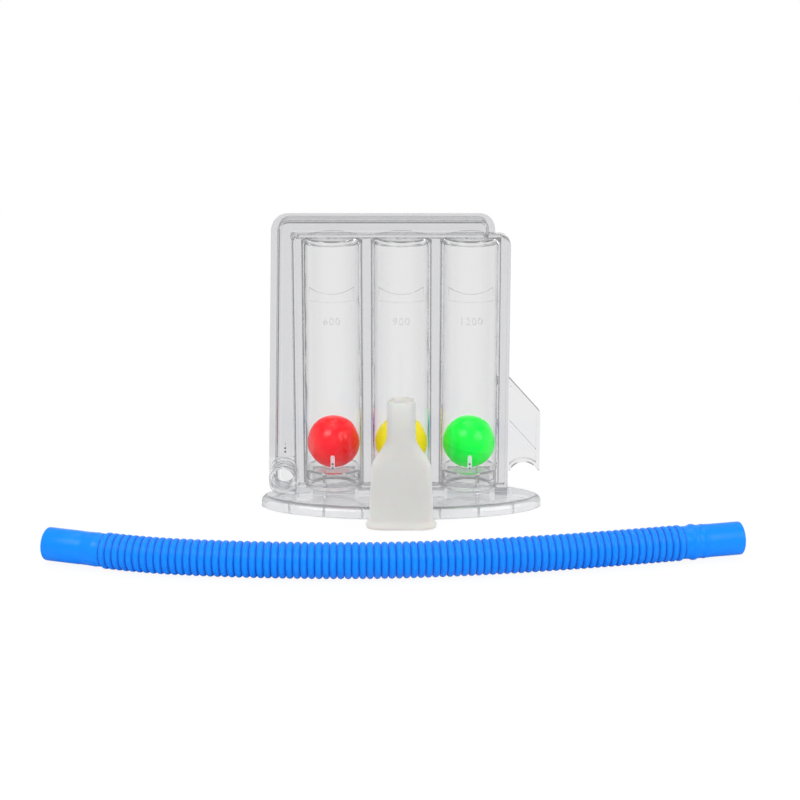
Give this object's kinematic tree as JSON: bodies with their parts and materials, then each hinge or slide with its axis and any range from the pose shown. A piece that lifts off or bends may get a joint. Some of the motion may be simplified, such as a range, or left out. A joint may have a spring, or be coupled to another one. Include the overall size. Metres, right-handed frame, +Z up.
{
  "type": "incentive spirometer",
  "caption": "Clear upright breathing exerciser with a coloured ball in each tube, a side air channel with inlet port, an oval base, and a loose flat mouthpiece and corrugated hose.",
  "frame": {"origin": "centre of the oval base's underside, on the surface that the device stands on", "axes": "+X to the right along the row of tubes towards the holder fin, +Y to the back, +Z up"},
  "size_m": [0.3109, 0.1354, 0.1415],
  "materials": {
    "clear_plastic": "clear polished",
    "red_plastic": "smooth",
    "yellow_plastic": "smooth",
    "green_plastic": "smooth",
    "milky_plastic": "translucent satin",
    "blue_plastic": "satin"
  },
  "bodies": {
    "device": {"base_tray": "clear_plastic", "front_housing": "clear_plastic", "rear_housing": "clear_plastic", "inlet_port": "clear_plastic", "floor_cup_red": "clear_plastic", "floor_cup_yellow": "clear_plastic", "floor_cup_green": "clear_plastic"},
    "red_ball": {"ball_red": "red_plastic"},
    "yellow_ball": {"ball_yellow": "yellow_plastic"},
    "green_ball": {"ball_green": "green_plastic"},
    "loose_mouthpiece": {"mouthpiece": "milky_plastic"},
    "loose_hose": {"hose": "blue_plastic", "hose_cuff_left": "blue_plastic", "hose_cuff_right": "blue_plastic"}
  },
  "joints": [
    {"name": "red_ball_rise", "type": "slide", "parent": "device", "child": "red_ball", "axis": [0, 0, 1], "range_m": [0, 0.0846]},
    {"name": "yellow_ball_rise", "type": "slide", "parent": "device", "child": "yellow_ball", "axis": [0, 0, 1], "range_m": [0, 0.0846]},
    {"name": "green_ball_rise", "type": "slide", "parent": "device", "child": "green_ball", "axis": [0, 0, 1], "range_m": [0, 0.0846]},
    {"name": "mouthpiece_lift", "type": "slide", "parent": "device", "child": "loose_mouthpiece", "axis": [0, 0, 1], "range_m": [0, 0.08]},
    {"name": "hose_lift", "type": "slide", "parent": "device", "child": "loose_hose", "axis": [0, 0, 1], "range_m": [0, 0.06]}
  ]
}
